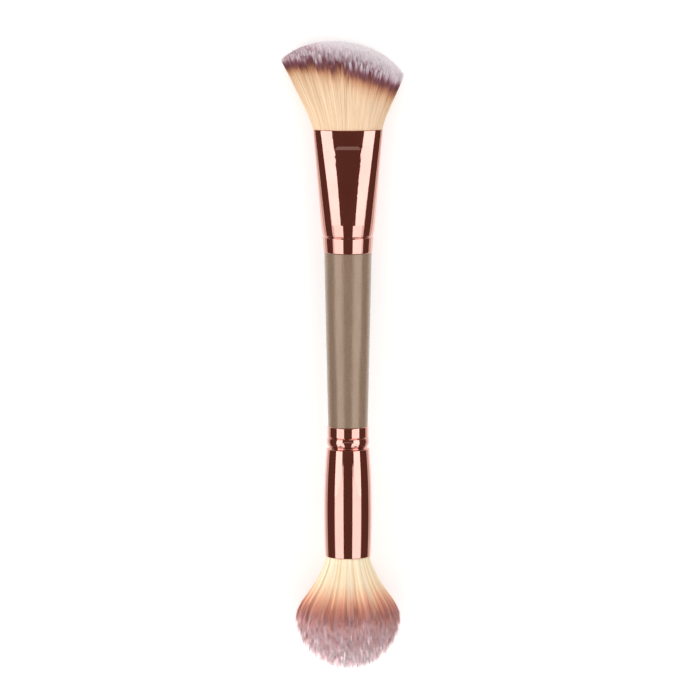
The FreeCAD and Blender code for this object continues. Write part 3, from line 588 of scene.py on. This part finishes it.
# Epoxy that set against the fibres: glassy and honey coloured.
glue = new_material("set_epoxy_glue", {
    "Roughness": 0.3, "IOR": 1.55, "Base Color": dye("#d8c38c")})[0]
for node, finish in (("handle", wood), ("contour_ferrule", metal), ("powder_ferrule", metal),
                     ("contour_glue_plug", glue), ("powder_glue_plug", glue)):
    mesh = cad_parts[node].data
    mesh.materials.clear()
    mesh.materials.append(finish)

contour_head(contour_fibre)
powder_head(powder_fibre)

# The studio
CAMERA_LEAN = math.radians(10)
CAMERA_DISTANCE = 1.5
VIEWED = Vector((2.33, 2.31, 13.0)) * MM
BRUSH_ACROSS = 0.0017
back = Vector((0, math.sin(CAMERA_LEAN), math.cos(CAMERA_LEAN)))
upright = Vector((0, math.cos(CAMERA_LEAN), -math.sin(CAMERA_LEAN)))


def leaning(x, y, z):
    """A place given across the view, up it, and towards the camera, in metres."""
    return VIEWED + Vector((x, 0, 0)) + upright * y + back * z


def overhead(half_width, low, high, height):
    """Corners of a card that hangs over the brush, square to the view."""
    return [leaning(-half_width, low, height), leaning(half_width, low, height),
            leaning(half_width, high, height), leaning(-half_width, high, height)]


def stand(name, corners, material, only_mirrors=False):
    """A flat studio surface. A card that only mirrors see gives the metal its dark stripes."""
    mesh = bpy.data.meshes.new(name)
    mesh.from_pydata(corners, [], [(0, 1, 2, 3)])
    mesh.materials.append(material)
    surface = bpy.data.objects.new(name, mesh)
    bpy.context.scene.collection.objects.link(surface)
    if only_mirrors:
        surface.visible_camera = surface.visible_diffuse = False
        surface.visible_shadow = surface.visible_transmission = False
    return surface


def area_lamp(name, width, length, power):
    """A rectangular lamp, still to be placed."""
    data = bpy.data.lights.new(name, "AREA")
    data.shape = "RECTANGLE"
    data.size, data.size_y, data.energy = width, length, power
    lamp = bpy.data.objects.new(name, data)
    bpy.context.scene.collection.objects.link(lamp)
    return lamp


dark_card = glowing_card("dark_felt_card", "#5f4037")
grey_card = glowing_card("grey_card", "#8d847f")
pale_card = glowing_card("pale_card", "#dcd6d2")

stand("table", [(-3, -3, 0), (3, -3, 0), (3, 3, 0), (-3, 3, 0)],
      plain_studio("matt_white_table", "#eeecea", 0.27))

# The metal mirrors this studio: a flag over the brush, a long soft box on each side of it, and a
# low flag beside the brush with a pale card at its foot. The contour half is lit from a little
# further out. The metal leans back from the camera, so it mirrors what stands towards the powder end,
# and the two halves' flags meet there too.
FLAG_HEIGHT, FLAGS_MEET = 0.40, -0.105
LOW_FLAG, LOW_FLAGS_MEET, LOW_FLAG_LENGTH, CARD_STARTS = 0.0395, -0.005, 0.34, 0.022
# For each half: the flag's outer angle, the low flag's top, and the ends of both along the brush.
for half, flagged, rise, (near, far), (low, high), end in (
        ("powder", 23, 0.0355, (-1.5, FLAGS_MEET), (-LOW_FLAG_LENGTH, LOW_FLAGS_MEET), -LOW_FLAG_LENGTH),
        ("contour", 30.5, 0.0272, (FLAGS_MEET, 1.5), (LOW_FLAGS_MEET, LOW_FLAG_LENGTH), LOW_FLAG_LENGTH)):
    reach = FLAG_HEIGHT * math.tan(math.radians(flagged))
    stand(f"flag_over_{half}", overhead(reach, near, far, FLAG_HEIGHT), dark_card, True)
    stand(f"flag_beyond_{half}", [(-0.4, end, 0.0), (0.4, end, 0.0), (0.4, end, 0.4),
                                  (-0.4, end, 0.4)], dark_card, True)
    for side, hand in ((-1, "left"), (1, "right")):
        x, foot = BRUSH_ACROSS + side * LOW_FLAG, BRUSH_ACROSS + side * CARD_STARTS
        stand(f"flag_{hand}_{half}", [(x, low, 0.0005), (x, high, 0.0005), (x, high, rise),
                                      (x, low, rise)], dark_card, True)
        stand(f"pale_card_{hand}_{half}", [(x, low, 0.0004), (x, high, 0.0004), (foot, high, 0.0004),
                                           (foot, low, 0.0004)], pale_card, True)

# Soft boxes from the powder end to the contour end: where each starts and ends along the brush, its
# inner and outer angles, and its strength in watts for each square metre.
BOX_DISTANCE = 0.7
for low, high, inner, outer, strength in ((-1.08, -0.18, 23, 66.5, 1.75),
                                          (-0.18, 0.72, 30.5, 69.5, 2.42)):
    width = 2 * BOX_DISTANCE * math.tan(math.radians((outer - inner) / 2))
    middle = math.radians((inner + outer) / 2)
    for side in (-1, 1):
        lamp = area_lamp("soft_box", width, high - low, strength * width * (high - low))
        towards = Vector((side * math.sin(middle), 0, 0)) + back * math.cos(middle)
        across = upright.cross(towards)
        spot = VIEWED + towards * BOX_DISTANCE + upright * ((low + high) / 2)
        lamp.matrix_world = Matrix((
            (across.x, upright.x, towards.x, spot.x), (across.y, upright.y, towards.y, spot.y),
            (across.z, upright.z, towards.z, spot.z), (0, 0, 0, 1)))

# A lamp from the left lights the two heads alone, so that they are round and the metal stays even.
HEAD_LAMP_LEFT, HEAD_LAMP_HEIGHT = 1.28, 0.78
lamp = area_lamp("lamp_for_heads", 0.8, 0.8, 6.9)
lamp.location = (-HEAD_LAMP_LEFT, 0.0, HEAD_LAMP_HEIGHT)
lamp.rotation_euler = (0, -math.atan2(HEAD_LAMP_LEFT, HEAD_LAMP_HEIGHT), 0)
lamp.light_linking.receiver_collection = HEADS

# The crease of the pressed ferrule faces this lighter card, just under the flag.
stand("card_for_crease", overhead(0.2, -0.06, 0.01, FLAG_HEIGHT - 0.001), grey_card, True)

world = bpy.data.worlds.new("studio")
bpy.context.scene.world = world
world.use_nodes = True
sky = world.node_tree
sky.nodes.clear()
level = add(sky, "ShaderNodeMapRange", values={"To Min": 0.95, "To Max": 1.0},
            links={"Value": seen_directly(sky)})
around_all = add(sky, "ShaderNodeBackground", values={"Color": (1, 1, 1, 1)},
                 links={"Strength": level.outputs["Result"]})
add(sky, "ShaderNodeOutputWorld", links={"Surface": around_all.outputs[0]})

# The camera
lens = bpy.data.cameras.new("camera")
lens.sensor_width = 36
lens.lens = 251.1
lens.clip_end = 10
camera = bpy.data.objects.new("camera", lens)
bpy.context.scene.collection.objects.link(camera)
spot = leaning(0, 0, CAMERA_DISTANCE)
camera.matrix_world = Matrix(((1, upright.x, back.x, spot.x), (0, upright.y, back.y, spot.y),
                              (0, upright.z, back.z, spot.z), (0, 0, 0, 1)))
bpy.context.scene.camera = camera
bpy.context.scene.view_settings.view_transform = "Standard"

bpy.context.view_layer.update()
